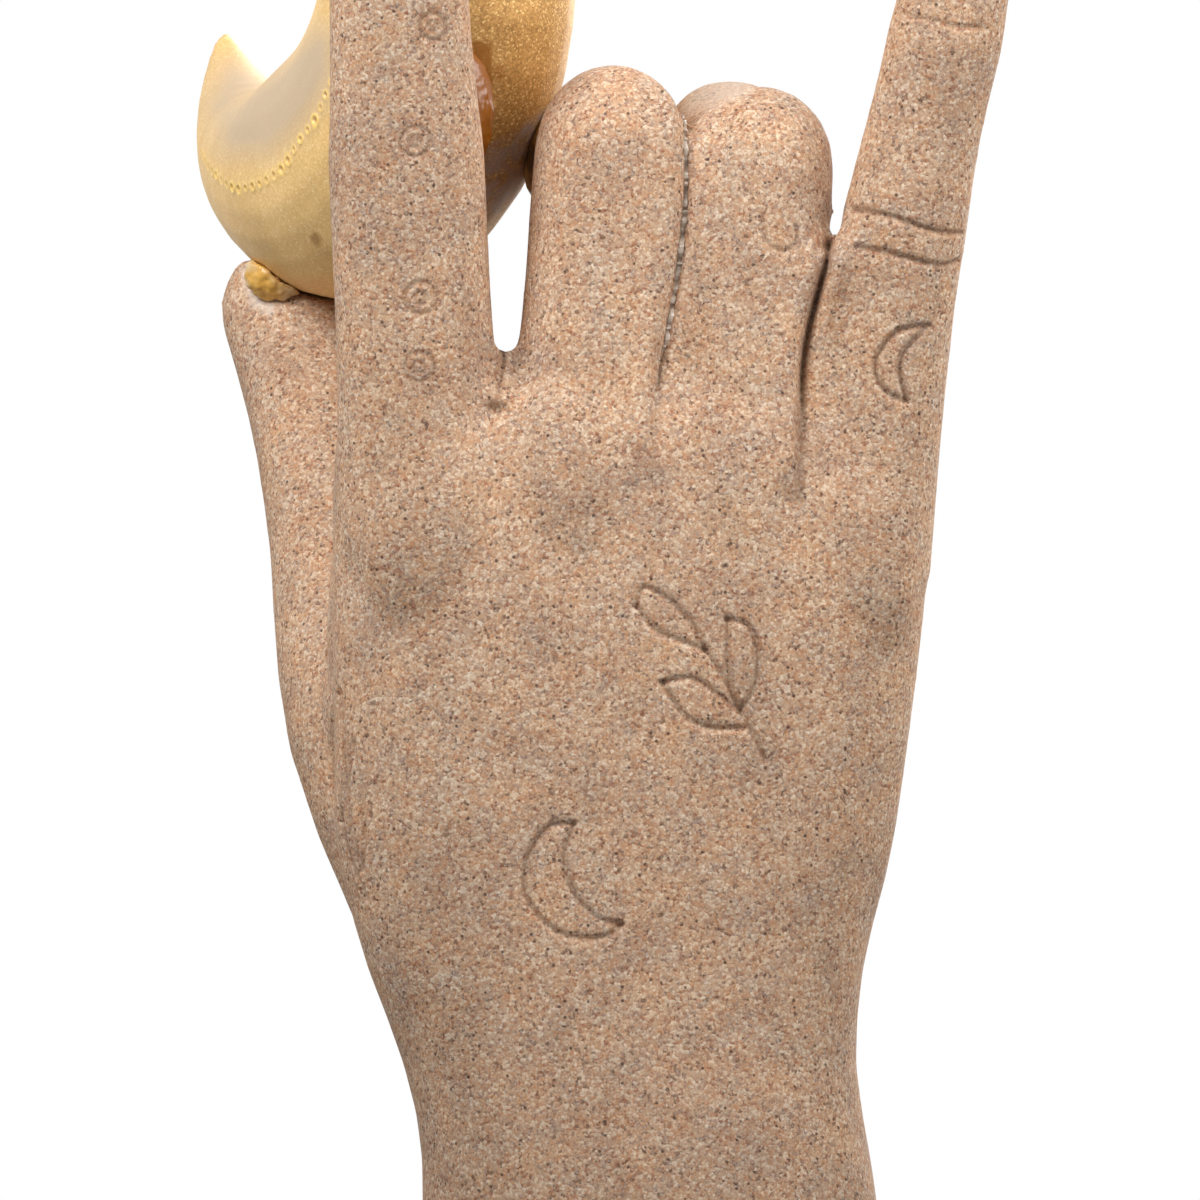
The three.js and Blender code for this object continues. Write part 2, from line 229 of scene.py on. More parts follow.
# Points, reach, rounding and depth of each cleft in mm, and the part of its length over which
# it deepens from its lower end
CLEFTS = [
    (MIDDLE_RING_CLEFT, 4.8, 2.4, 2.8, 0.5),
    (RING_LITTLE_CLEFT, 5.0, 2.2, 3.2, 0.6),
    (INDEX_MIDDLE_CLEFT, 2.6, 1.2, 1.8, 0.6),
]
# Points, half width and depth in mm, and strength of the painted shade, of the groove in each cleft
CLEFT_GROOVES = [
    (MIDDLE_RING_CLEFT, 0.9, 0.0, 0.3),
    (RING_LITTLE_CLEFT, 0.8, 0.1, 1.0),
    (INDEX_MIDDLE_CLEFT, 0.6, 0.0, 0.5),
]
# Lines, half width and depth in mm, and strength of the painted shade, of the grooves cut into the
# hand
CARVINGS = [
    (HAND_MOON + LEAF_SPRIG, 0.5, 0.38, 0.6),
    (FINGER_MOON + FINGER_BAND, 0.5, 0.45, 1.0),
    (RING_FINGER_ARC + LITTLE_TIP_BAND + THUMB_LEAF, 0.42, 0.24, 0.55),
]


def from_photo(px, py):
    """X and Z of a pixel of the photograph, at the back of the hand."""
    return ((px - PIXEL_ZERO_X) * PIXEL, (PIXEL_ZERO_Y - py) * PIXEL)


# Camera, light and floor


def new_object(name, data):
    thing = bpy.data.objects.new(name, data)
    bpy.context.scene.collection.objects.link(thing)
    return thing


def make_camera():
    """A long lens straight at the back of the hand, which frames what the photograph does."""
    camera = new_object("camera", bpy.data.cameras.new("camera"))
    middle_x, middle_z = from_photo(FRAME_MIDDLE, FRAME_MIDDLE)
    camera.location = (middle_x, HAND_BACK_Y - CAMERA_DISTANCE, middle_z)
    camera.rotation_euler = (math.radians(90), 0, 0)
    camera.data.sensor_width = SENSOR_MM
    camera.data.lens = SENSOR_MM * CAMERA_DISTANCE / FRAME_WIDTH
    camera.data.clip_start = CAMERA_CLIP_START
    bpy.context.scene.camera = camera


def make_light(name, place, target, size, watts):
    """A round soft lamp that faces its target."""
    data = bpy.data.lights.new(name, "AREA")
    data.shape = "DISK"
    data.size = size
    data.energy = watts
    lamp = new_object(name, data)
    lamp.location = place
    lamp.rotation_euler = (Vector(target) - Vector(place)).to_track_quat("-Z", "Y").to_euler()


def make_world():
    """Soft light from above on the object, and plain white where the camera or a gloss sees it."""
    world = bpy.data.worlds.new("studio")
    bpy.context.scene.world = world
    world.use_nodes = True
    nodes, links = world.node_tree.nodes, world.node_tree.links
    nodes.clear()
    seen = nodes.new("ShaderNodeBackground")
    seen.inputs["Color"].default_value = (1, 1, 1, 1)
    seen.inputs["Strength"].default_value = 1.0
    lit = nodes.new("ShaderNodeBackground")
    lit.inputs["Strength"].default_value = WORLD_STRENGTH
    split = nodes.new("ShaderNodeSeparateXYZ")
    links.new(nodes.new("ShaderNodeTexCoord").outputs["Generated"], split.inputs[0])
    fall = map_range(nodes, links, split.outputs["Z"], WORLD_BELOW_ABOVE, (-1, 1))
    links.new(fall, lit.inputs["Color"])
    rays = nodes.new("ShaderNodeLightPath").outputs
    straight = computed(
        nodes, links, "MAXIMUM", rays["Is Camera Ray"], rays["Is Transmission Ray"]
    )
    either = computed(nodes, links, "MAXIMUM", straight, rays["Is Glossy Ray"])
    out = nodes.new("ShaderNodeOutputWorld")
    links.new(mixed_shaders(nodes, links, either, lit, seen), out.inputs["Surface"])


def make_floor():
    """A pale disc that turns white towards its rim, so that no edge shows behind the object."""
    mesh = bpy.data.meshes.new("floor")
    build = bmesh.new()
    bmesh.ops.create_circle(
        build, cap_ends=True, radius=FLOOR_RADIUS, segments=FLOOR_SEGMENTS
    )
    build.to_mesh(mesh)
    build.free()
    floor = new_object("floor", mesh)
    material, nodes, links = new_material("pale_floor")
    shader = nodes["Principled BSDF"]
    shader.inputs["Roughness"].default_value = FLOOR_ROUGHNESS
    seen = nodes.new("ShaderNodeLightPath").outputs["Is Camera Ray"]
    colour = mixed(nodes, links, seen, FLOOR_BOUNCE, FLOOR_COLOUR)
    links.new(colour, shader.inputs["Base Color"])
    far = nodes.new("ShaderNodeVectorMath")
    far.operation = "LENGTH"
    links.new(object_place(nodes), far.inputs[0])
    fade = map_range(nodes, links, far.outputs["Value"], (0, 1), FLOOR_FADE, "SMOOTHSTEP")
    share = computed(nodes, links, "MULTIPLY", fade, seen)
    shown = mixed_shaders(nodes, links, share, shader, nodes.new("ShaderNodeEmission"))
    links.new(shown, nodes["Material Output"].inputs["Surface"])
    mesh.materials.append(material)


# Mesh helpers


def copy_of(node, name):
    """A copy of a CAD node's mesh as a new piece, with its shared corners joined."""
    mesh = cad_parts[node].data.copy()
    mesh.name = name
    mesh.materials.clear()
    build = bmesh.new()
    build.from_mesh(mesh)
    bmesh.ops.remove_doubles(build, verts=build.verts, dist=CORNER_GAP)
    build.to_mesh(mesh)
    build.free()
    return new_object(name, mesh)


def settle(piece):
    """Applies the piece's modifiers to its mesh."""
    bpy.context.view_layer.update()
    evaluated = piece.evaluated_get(bpy.context.evaluated_depsgraph_get())
    mesh = bpy.data.meshes.new_from_object(evaluated)
    piece.modifiers.clear()
    piece.data = mesh
    mesh.name = piece.name


def remesh(piece, voxel, smoothings):
    """Gives the piece an even, fine mesh with soft edges."""
    modifier = piece.modifiers.new("remesh", "REMESH")
    modifier.mode = "VOXEL"
    modifier.voxel_size = voxel
    smooth = piece.modifiers.new("smooth", "SMOOTH")
    smooth.factor = 0.5
    smooth.iterations = smoothings
    settle(piece)


def vertices_of(mesh):
    places = np.empty(len(mesh.vertices) * 3)
    mesh.vertices.foreach_get("co", places)
    return places.reshape(-1, 3)


def normals_of(mesh):
    normals = np.empty(len(mesh.vertices) * 3, np.float32)
    mesh.vertex_normals.foreach_get("vector", normals)
    return normals.reshape(-1, 3).astype(float)


def set_vertices(mesh, places):
    mesh.vertices.foreach_set("co", places.ravel())
    mesh.update()


def noted_values(mesh, name):
    """What the mesh notes for its points under a name, 0 where nothing is noted yet."""
    note = mesh.attributes.get(name) or mesh.attributes.new(name, "FLOAT", "POINT")
    values = np.empty(len(mesh.vertices), np.float32)
    note.data.foreach_get("value", values)
    return values


def set_note(mesh, name, values):
    mesh.attributes[name].data.foreach_set("value", values)


def refine(mesh, close, cuts):
    """Cuts the edges between points that are close to something finer."""
    build = bmesh.new()
    build.from_mesh(mesh)
    build.verts.ensure_lookup_table()
    edges = [e for e in build.edges if close[e.verts[0].index] and close[e.verts[1].index]]
    bmesh.ops.subdivide_edges(build, edges=edges, cuts=cuts, use_grid_fill=True)
    build.to_mesh(mesh)
    build.free()


def waver(piece, size, amount, seed):
    """A slow, slight unevenness over the whole surface."""
    mesh = piece.data
    places, normals = vertices_of(mesh), normals_of(mesh)
    shift = Vector((seed, seed * 0.7, seed * 1.3))
    push = np.array([noise.noise(Vector(place) / size + shift) for place in places])
    set_vertices(mesh, places + normals * (push * amount)[:, None])


def shade_smooth(piece):
    piece.data.polygons.foreach_set("use_smooth", [True] * len(piece.data.polygons))
    piece.data.update()


def surface_tree(piece):
    """The piece's faces, for rays to hit."""
    mesh = piece.data
    corners = [vertex.co for vertex in mesh.vertices]
    return BVHTree.FromPolygons(corners, [tuple(face.vertices) for face in mesh.polygons])


def front_hit(tree, x, z):
    """The surface's point that the camera sees at X and Z, or None."""
    return tree.ray_cast(Vector((x, RAY_START_Y, z)), Vector(PALM_SIDE))[0]


def finish_piece(piece, material, node):
    """Gives the piece its material and slot, and lets it take the place of its CAD node."""
    piece.data.materials.clear()
    piece.data.materials.append(material)
    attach(piece, "root")
    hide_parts(node)


# Lines and grooves


def curve_through(points, steps=6):
    """A smooth line through pixels of the photograph, as an array of X and Z."""
    p = np.array([from_photo(*point) for point in points])
    ends = np.vstack([2 * p[0] - p[1], p, 2 * p[-1] - p[-2]])
    line = []
    for i in range(1, len(ends) - 2):
        a, b, c, d = ends[i - 1 : i + 3]
        for k in range(steps):
            t = k / steps
            square = 2 * a - 5 * b + 4 * c - d
            cube = 3 * b - a - 3 * c + d
            line.append(0.5 * (2 * b + (c - a) * t + square * t * t + cube * t**3))
    line.append(p[-1])
    return np.array(line)


def in_mm(points):
    """A smooth line through points given as X and Z in millimetres."""
    scale = MM / PIXEL
    return curve_through([(PIXEL_ZERO_X + x * scale, PIXEL_ZERO_Y - z * scale) for x, z in points])


def circle_at(px, py, radius_px, count):
    """A ring of points round a pixel of the photograph."""
    turn = np.linspace(0, 2 * math.pi, count + 1)
    x, z = from_photo(px, py)
    return np.c_[x + radius_px * PIXEL * np.cos(turn), z + radius_px * PIXEL * np.sin(turn)]


def dotted_ring(px, py, radius_px):
    """Short strokes in a ring round a pixel of the photograph, and a few inside it."""
    strokes = []
    for radius, count in ((radius_px, 24), (0.4 * radius_px, 6)):
        ring = circle_at(px, py, radius, count)
        strokes += [ring[i : i + 2] for i in range(0, count, 2)]
    return strokes


def distance_to(line, points):
    """Least distance from each point to a line of segments."""
    best = np.full(len(points), np.inf)
    for a, b in zip(line[:-1], line[1:]):
        ab = b - a
        t = np.clip(((points - a) @ ab) / max(ab @ ab, 1e-18), 0, 1)
        best = np.minimum(best, np.linalg.norm(points - a - t[:, None] * ab, axis=1))
    return best


def in_box(flat, line, margin, allowed):
    """Numbers of the allowed points in the box round a line, widened by a margin."""
    low, high = line.min(0) - margin, line.max(0) + margin
    return np.where(allowed & (flat > low).all(1) & (flat < high).all(1))[0]


def refine_near(piece, lines, reach, cuts, facing=CAMERA_SIDE):
    """Cuts the faces near the lines finer, so that a narrow groove has enough points."""
    places = vertices_of(piece.data)
    towards = normals_of(piece.data) @ np.array(facing) > 0.2
    flat = places[:, (0, 2)]
    close = np.zeros(len(places), bool)
    for line in lines:
        near = in_box(flat, line, reach, towards)
        close[near] |= distance_to(line, flat[near]) < reach
    refine(piece.data, close, cuts)


def carve(piece, lines, half_width, depth, facing=CAMERA_SIDE, strength=1.0, least=0.25):
    """Sinks grooves into the side of the piece that faces one way, and notes painted shade in them.
    """
    mesh = piece.data
    places, normals = vertices_of(mesh), normals_of(mesh)
    painted_groove_shade = noted_values(mesh, "painted_groove_shade")
    towards = normals @ np.array(facing) > least
    flat = places[:, (0, 2)]
    for line in lines:
        near = in_box(flat, line, 3 * half_width, towards)
        reach = distance_to(line, flat[near]) / half_width
        sunk = np.clip(1 - reach**2, 0, 1) ** GROOVE_PROFILE
        places[near] -= normals[near] * (sunk * depth)[:, None]
        # Painted shade, darkest along the groove's middle
        shade = np.clip(GROOVE_SHADE_REACH - reach, 0, 1) * strength
        painted_groove_shade[near] = np.maximum(painted_groove_shade[near], shade)
    set_vertices(mesh, places)
    set_note(mesh, "painted_groove_shade", painted_groove_shade)


def front_of(piece, line, reach):
    """Numbers and distances of the points near a line of the photograph, on finger fronts."""
    places, normals = vertices_of(piece.data), normals_of(piece.data)
    flat = places[:, (0, 2)]
    front = (normals[:, 1] < FRONT_FACING) & (places[:, 1] < FINGER_MIDDLE_Y)
    near = in_box(flat, line, reach, front)
    distances = distance_to(line, flat[near])
    return near[distances < reach], distances[distances < reach]


def cleft(piece, pixels, reach, rounding, depth, rise):
    """Fills the valley between two fingers up to their fronts, with a narrow rounded cleft."""
    line = curve_through(pixels)
    rim_numbers, rim_distances = front_of(piece, line, RIM_REACH * reach)
    places = vertices_of(piece.data)
    rim = rim_numbers[rim_distances > reach]
    tree = KDTree(len(rim))
    for index, number in enumerate(rim):
        x, _, z = places[number]
        tree.insert((x, 0, z), index)
    tree.balance()
    sides = np.sign(places[rim, 0] - np.interp(places[rim, 2], line[::-1, 1], line[::-1, 0]))
    numbers, distances = front_of(piece, line, reach)
    top, bottom = line[0][1], line[-1][1]
    fronts = places[rim, 1]
    for number, distance in zip(numbers, distances):
        x, y, z = places[number]
        found = [(sides[i], fronts[i], gap) for _, i, gap in tree.find_n((x, 0, z), RIM_POINTS)]
        means = []
        for side in (-1, 1):
            weights = [(1 / (gap * gap + MM * MM), front) for s, front, gap in found if s == side]
            if weights:
                total = sum(w for w, _ in weights)
                means.append((total, sum(w * front for w, front in weights) / total))
        whole = sum(w for w, _ in means)
        front = sum(w * value for w, value in means) / whole
        along = min(max((z - bottom) / (top - bottom), 0), 1)
        share = max(0.0, 1 - distance / rounding)
        sunk = depth * min(1.0, along / rise) * (1 - math.sqrt(1 - share * share))
        blend = min(1.0, (reach - distance) / (BLEND_ACROSS * reach))
        blend *= min(1.0, along / BLEND_ALONG)
        places[number, 1] += (front + sunk - y) * blend
    set_vertices(piece.data, places)
    even_out(piece, numbers[distances > EVEN_FROM * reach], EVEN_ROUNDS)


def even_out(piece, numbers, rounds):
    """Evens out the depth of the given points with that of the points round them."""
    mesh = piece.data
    pairs = np.empty(len(mesh.edges) * 2, int)
    mesh.edges.foreach_get("vertices", pairs)
    pairs = pairs.reshape(-1, 2)
    chosen = np.zeros(len(mesh.vertices), bool)
    chosen[numbers] = True
    pairs = pairs[chosen[pairs].any(1)]
    ends = np.r_[pairs[:, 0], pairs[:, 1]]
    others = np.r_[pairs[:, 1], pairs[:, 0]]
    count = np.maximum(np.bincount(ends, minlength=len(chosen)), 1)
    places = vertices_of(mesh)
    for _ in range(rounds):
        mean = np.bincount(ends, weights=places[others, 1], minlength=len(chosen)) / count
        places[chosen, 1] = mean[chosen]
    set_vertices(mesh, places)


def note_area(piece, name, pixels, edge, strength=1.0):
    """Notes the points inside an outline of the photograph, on the camera's side, softly."""
    mesh = piece.data
    places, normals = vertices_of(mesh), normals_of(mesh)
    outline = np.array([from_photo(*pixel) for pixel in pixels + pixels[:1]])
    flat = places[:, (0, 2)]
    near = in_box(flat, outline, edge, normals[:, 1] < NOTE_FACING)
    points = flat[near]
    inside = np.zeros(len(near), bool)
    for (ax, az), (bx, bz) in zip(outline[:-1], outline[1:]):
        crosses = (az > points[:, 1]) != (bz > points[:, 1])
        meets = ax + (points[:, 1] - az) / (bz - az if bz != az else 1) * (bx - ax)
        inside ^= crosses & (points[:, 0] < meets)
    outside = np.where(inside, 0, distance_to(outline, points))
    turned = np.clip((NOTE_FACING - normals[near, 1]) / NOTE_FADE, 0, 1)
    values = noted_values(mesh, name)
    shade = np.clip(1 - outside / edge, 0, 1) * turned * strength
    values[near] = np.maximum(values[near], shade)
    set_note(mesh, name, values)


# Node helpers: a value is a socket or, where the function says so, a constant


def new_material(name):
    material = bpy.data.materials.new(name)
    material.use_nodes = True
    return material, material.node_tree.nodes, material.node_tree.links


def grey(value):
    return (value, value, value)


def srgb(r, g, b):
    """Linear colour of an 8-bit sRGB one."""
    shares = (c / 255 for c in (r, g, b))
    return tuple(((s + 0.055) / 1.055) ** 2.4 if s > 0.04045 else s / 12.92 for s in shares)


def object_place(nodes):
    """The place in the object's own coordinates."""
    return nodes.new("ShaderNodeTexCoord").outputs["Object"]


def noted(nodes, name):
    """The value that the mesh notes for each point under a name."""
    node = nodes.new("ShaderNodeAttribute")
    node.attribute_name = name
    return node.outputs["Fac"]


def fill(links, socket, value):
    """Links a socket to a value, or sets it to a constant."""
    if isinstance(value, bpy.types.NodeSocket):
        links.new(value, socket)
    elif isinstance(value, tuple):
        socket.default_value = (*value, 1)
    else:
        socket.default_value = value


def computed(nodes, links, operation, *values):
    """The result of a Math node. Each value is a socket or a constant."""
    node = nodes.new("ShaderNodeMath")
    node.operation = operation
    for socket, value in zip(node.inputs, values):
        fill(links, socket, value)
    return node.outputs[0]


def map_range(nodes, links, value, target, source=(0, 1), interpolation="LINEAR"):
    """A value carried from the source range to the target range."""
    node = nodes.new("ShaderNodeMapRange")
    node.interpolation_type = interpolation
    for name, end in zip(("From Min", "From Max", "To Min", "To Max"), (*source, *target)):
        node.inputs[name].default_value = end
    links.new(value, node.inputs["Value"])
    return node.outputs["Result"]


def ramp(nodes, links, value, stops, interpolation="LINEAR"):
    """The colour at a value, from the place and colour of each stop."""
    node = nodes.new("ShaderNodeValToRGB")
    elements = node.color_ramp.elements
    elements[0].position, elements[0].color = stops[0][0], (*stops[0][1], 1)
    elements[1].position, elements[1].color = stops[-1][0], (*stops[-1][1], 1)
    for place, colour in stops[1:-1]:
        elements.new(place).color = (*colour, 1)
    node.color_ramp.interpolation = interpolation
    links.new(value, node.inputs["Fac"])
    return node.outputs["Color"]


def mixed(nodes, links, factor, first, second, blend="MIX"):
    """Mixes two colours. Each of the three is a socket or a constant."""
    node = nodes.new("ShaderNodeMix")
    node.data_type = "RGBA"
    node.blend_type = blend
    # Sockets 6 and 7 take the two colours, and output 2 gives the result
    for number, value in ((0, factor), (6, first), (7, second)):
        fill(links, node.inputs[number], value)
    return node.outputs[2]


def tinted(nodes, links, body, value, stops):
    """A colour times the ramp's colour at a value."""
    return mixed(nodes, links, 1.0, body, ramp(nodes, links, value, stops), "MULTIPLY")


def mixed_shaders(nodes, links, factor, first, second):
    """Mixes two shader nodes by a value."""
    node = nodes.new("ShaderNodeMixShader")
    links.new(factor, node.inputs["Fac"])
    links.new(first.outputs[0], node.inputs[1])
    links.new(second.outputs[0], node.inputs[2])
    return node.outputs[0]


def scaled_noise(nodes, links, place, scale, detail, stretch=(1, 1, 1)):
    """Cloudy noise from 0 to 1."""
    mapping = nodes.new("ShaderNodeMapping")
    mapping.inputs["Scale"].default_value = stretch
    texture = nodes.new("ShaderNodeTexNoise")
    texture.inputs["Scale"].default_value = scale
    texture.inputs["Detail"].default_value = detail
    links.new(place, mapping.inputs["Vector"])
    links.new(mapping.outputs["Vector"], texture.inputs["Vector"])
    return texture.outputs["Fac"]


def cells_of(nodes, links, place, scale):
    """Random values Red, Green and Blue of the cell at a place, and the distance to its middle."""
    texture = nodes.new("ShaderNodeTexVoronoi")
    texture.inputs["Scale"].default_value = scale
    links.new(place, texture.inputs["Vector"])
    split = nodes.new("ShaderNodeSeparateColor")
    links.new(texture.outputs["Color"], split.inputs[0])
    return split.outputs, texture.outputs["Distance"]


def add_bump(nodes, links, height, strength, distance):
    """Lets the shader's surface look uneven by a height."""
    bump = nodes.new("ShaderNodeBump")
    bump.inputs["Strength"].default_value = strength
    bump.inputs["Distance"].default_value = distance
    links.new(height, bump.inputs["Height"])
    links.new(bump.outputs["Normal"], nodes["Principled BSDF"].inputs["Normal"])


# Materials


def specks(nodes, links, place):
    """1 in a few scattered dark grains, else 0."""
    cells, distance = cells_of(nodes, links, place, SPECK_CELLS)
    chosen = ramp(nodes, links, cells["Red"], [(0.0, grey(1)), (0.05, grey(0))], "CONSTANT")
    middle = ramp(nodes, links, distance, [(0.26, grey(0.85)), (0.36, grey(0))])
    return computed(nodes, links, "MULTIPLY", chosen, middle)


def sand_resin():
    """Grains of sand in resin: cream, tan, orange, rust and grey, with a few near-black specks,
    painted shade in the grooves and towards the wrist, and whitish residue.
    """
    material, nodes, links = new_material("sand_resin")
    shader = nodes["Principled BSDF"]
    place = object_place(nodes)
    coarse_colours = [
        (0.0, srgb(92, 68, 58)),
        (0.045, srgb(158, 104, 80)),
        (0.13, srgb(158, 134, 122)),
        (0.24, srgb(204, 154, 116)),
        (0.4, srgb(198, 164, 136)),
        (0.68, srgb(214, 184, 156)),
        (0.86, srgb(238, 216, 192)),
    ]
    fine_colours = [
        (0.0, srgb(120, 88, 72)),
        (0.08, srgb(180, 134, 104)),
        (0.3, srgb(192, 158, 132)),
        (0.6, srgb(206, 174, 146)),
        (0.85, srgb(236, 214, 190)),
    ]
    cells, distance = cells_of(nodes, links, place, COARSE_GRAIN)
    coarse = ramp(nodes, links, cells["Red"], coarse_colours, "CONSTANT")
    fine_cells, _ = cells_of(nodes, links, place, FINE_GRAIN)
    fine = ramp(nodes, links, fine_cells["Red"], fine_colours, "CONSTANT")
    body = mixed(nodes, links, 0.46, coarse, fine)
    body = mixed(nodes, links, specks(nodes, links, place), body, srgb(84, 62, 54))
    patches = scaled_noise(nodes, links, place, 110, 4.0)
    tone = [(0.3, (0.75, 0.745, 0.74)), (0.5, (0.88, 0.885, 0.87)), (0.7, (0.94, 0.935, 0.9))]
    body = tinted(nodes, links, body, patches, tone)
    # Painted shade: the casting is a little darker towards the wrist, by its height in metres,
    # where less of the light from above falls
    split = nodes.new("ShaderNodeSeparateXYZ")
    links.new(place, split.inputs[0])
    wrist_painted_shade = [(0.062, (0.78, 0.78, 0.785)), (0.095, grey(0.9)), (0.13, grey(1))]
    body = tinted(nodes, links, body, split.outputs["Z"], wrist_painted_shade)
    warm_patches = scaled_noise(nodes, links, place, 260, 2.0)
    warmth = [(0.35, (0.98, 1.0, 1.03)), (0.65, (1.05, 0.99, 0.93))]
    body = tinted(nodes, links, body, warm_patches, warmth)
    # Painted shade in the grooves, clefts and creases, then the whitish residue
    for name, factor, colour in (
        ("painted_groove_shade", 0.5, srgb(112, 80, 60)),
        ("residue", 0.6, srgb(224, 212, 200)),
    ):
        share = computed(nodes, links, "MULTIPLY", noted(nodes, name), factor)
        body = mixed(nodes, links, share, body, colour)
    links.new(body, shader.inputs["Base Color"])
    rough = map_range(nodes, links, cells["Green"], (0.72, 0.98))
    links.new(rough, shader.inputs["Roughness"])
    shader.inputs["Specular IOR Level"].default_value = 0.25
    grit = computed(nodes, links, "MULTIPLY_ADD", distance, -0.8, cells["Blue"])
    add_bump(nodes, links, grit, 0.5, 0.12 * MM)
    return material


def gold_paint():
    """Satin champagne gold with fine flakes, a painted whitish sheen, bright dots, amber stains and
    painted shade.
    """
    material, nodes, links = new_material("gold_paint")
    shader = nodes["Principled BSDF"]
    place = object_place(nodes)
    paint_colours = [
        (0.0, srgb(226, 187, 120)),
        (0.5, srgb(235, 197, 132)),
        (0.9, srgb(240, 205, 144)),
        (1.0, srgb(250, 222, 170)),
    ]
    shaded_glitter_colours = [
        (0.0, srgb(136, 86, 30)),
        (0.45, srgb(182, 126, 56)),
        (0.85, srgb(204, 152, 80)),
        (1.0, srgb(250, 214, 140)),
    ]
    cells, _ = cells_of(nodes, links, place, GOLD_FLAKES)
    paint = ramp(nodes, links, cells["Red"], paint_colours)
    shaded_glitter = ramp(nodes, links, cells["Red"], shaded_glitter_colours)
    # The amber area is painted shade on the moon's right side: darker, deeper gold flakes
    amber = computed(nodes, links, "MULTIPLY", noted(nodes, "amber"), 0.7)
    body = mixed(nodes, links, amber, paint, shaded_glitter)
    patches = scaled_noise(nodes, links, place, 90, 5.0, (1.2, 1.2, 0.6))
    tone = [(0.3, (0.88, 0.83, 0.73)), (0.6, (1.02, 1.01, 1.0))]
    body = tinted(nodes, links, body, patches, tone)
    smears = scaled_noise(nodes, links, place, 420, 3.0)
    # A painted whitish sheen, residue, dark stains with painted shade, and bright flecks
    for name, factor, colour in (
        ("pale", 0.8, srgb(180, 160, 138)),
        ("residue", 0.7, srgb(184, 170, 164)),
        ("stain_and_painted_shade", 0.85, srgb(150, 90, 14)),
        ("fleck", 0.9, srgb(252, 216, 116)),
    ):
        share = computed(nodes, links, "MULTIPLY", noted(nodes, name), factor)
        if name == "residue":
            share = tinted(nodes, links, share, smears, [(0.4, grey(0.25)), (0.6, grey(1))])
        body = mixed(nodes, links, share, body, colour)
    links.new(body, shader.inputs["Base Color"])
    metal = map_range(nodes, links, noted(nodes, "pale"), (0.4, 0.1))
    links.new(metal, shader.inputs["Metallic"])
    rough = map_range(nodes, links, patches, (0.42, 0.58))
    polish = computed(nodes, links, "MULTIPLY", noted(nodes, "fleck"), 0.25)
    rough = computed(nodes, links, "SUBTRACT", rough, polish)
    links.new(rough, shader.inputs["Roughness"])
    add_bump(nodes, links, cells["Green"], 0.1, 0.04 * MM)
    return material


def adhesive(name, colour, roughness, cloudy=None):
    """Hardened glue: slightly cloudy, with small lumps."""
    material, nodes, links = new_material(name)
    shader = nodes["Principled BSDF"]
    cloud = scaled_noise(nodes, links, object_place(nodes), 260, 2.0)
    tints = [(0.4, cloudy or tuple(0.78 * c for c in colour)), (0.6, colour)]
    links.new(ramp(nodes, links, cloud, tints), shader.inputs["Base Color"])
    shader.inputs["Roughness"].default_value = roughness
    add_bump(nodes, links, cloud, 0.4, 0.1 * MM)
    return material


def felt():
    """Dark felt: matted fibres of slightly different browns."""
    material, nodes, links = new_material("felt")
    shader = nodes["Principled BSDF"]
    fibres = scaled_noise(nodes, links, object_place(nodes), 2600, 4.0, (1.0, 1.0, 0.4))
    browns = [(0.3, srgb(44, 38, 34)), (0.7, srgb(84, 74, 64))]
    links.new(ramp(nodes, links, fibres, browns), shader.inputs["Base Color"])
    shader.inputs["Roughness"].default_value = 1.0
    shader.inputs["Sheen Weight"].default_value = 0.4
    add_bump(nodes, links, fibres, 0.8, 0.2 * MM)
    return material


def steel():
    """Drawn steel pin with fine marks round it."""
    material, nodes, links = new_material("steel_pin")
    shader = nodes["Principled BSDF"]
    marks = scaled_noise(nodes, links, object_place(nodes), 900, 2.0, (1.0, 1.0, 6.0))
    greys = [(0.3, srgb(140, 142, 146)), (0.7, srgb(176, 178, 180))]
    links.new(ramp(nodes, links, marks, greys), shader.inputs["Base Color"])
    shader.inputs["Metallic"].default_value = 1.0
    shader.inputs["Roughness"].default_value = 0.35
    return material


# Pieces


def make_hand(material):
    """The casting, with clefts between the fingers, the carvings, creases and residue."""
    hand = copy_of("hand_casting", "sand_hand")
    remesh(hand, HAND_VOXEL, smoothings=10)
    waver(hand, size=14 * MM, amount=0.14 * MM, seed=3.0)
    refine_near(hand, [curve_through(points) for points, *_ in CLEFTS], 2.8 * MM, cuts=1)
    for points, reach, rounding, depth, rise in CLEFTS:
        cleft(hand, points, reach * MM, rounding * MM, depth * MM, rise)
    for points, half_width, depth, strength in CLEFT_GROOVES:
        line = curve_through(points)
        carve(hand, [line], half_width * MM, depth * MM, strength=strength, least=-0.5)
    carvings = [([curve_through(points) for points in lines], *size) for lines, *size in CARVINGS]
    ring_strokes = [stroke for ring in INDEX_RINGS for stroke in dotted_ring(*ring)]
    carvings.append((ring_strokes, 0.42, 0.2, 0.7))
    refine_near(hand, [line for lines, *_ in carvings for line in lines], 1.3 * MM, cuts=2)
    for lines, half_width, depth, strength in carvings:
        carve(hand, lines, half_width * MM, depth * MM, strength=strength)
    creases = [LIFE_LINE, HEAD_LINE, HEART_LINE]
    creases += WRIST_LINES + INDEX_JOINT_LINES + LITTLE_JOINT_LINES
    creases = [in_mm(points) for points in creases]
    refine_near(hand, creases, 2 * MM, cuts=1, facing=PALM_SIDE)
    # The palm's creases, with painted shade in them
    carve(hand, creases, 1.0 * MM, 0.8 * MM, facing=PALM_SIDE, strength=0.7)
    note_area(hand, "residue", THUMB_RESIDUE, 0.8 * MM)
    note_area(hand, "residue", RING_FINGER_RESIDUE, 1.6 * MM, 0.7)
    shade_smooth(hand)
    finish_piece(hand, material, "hand_casting")
    return hand


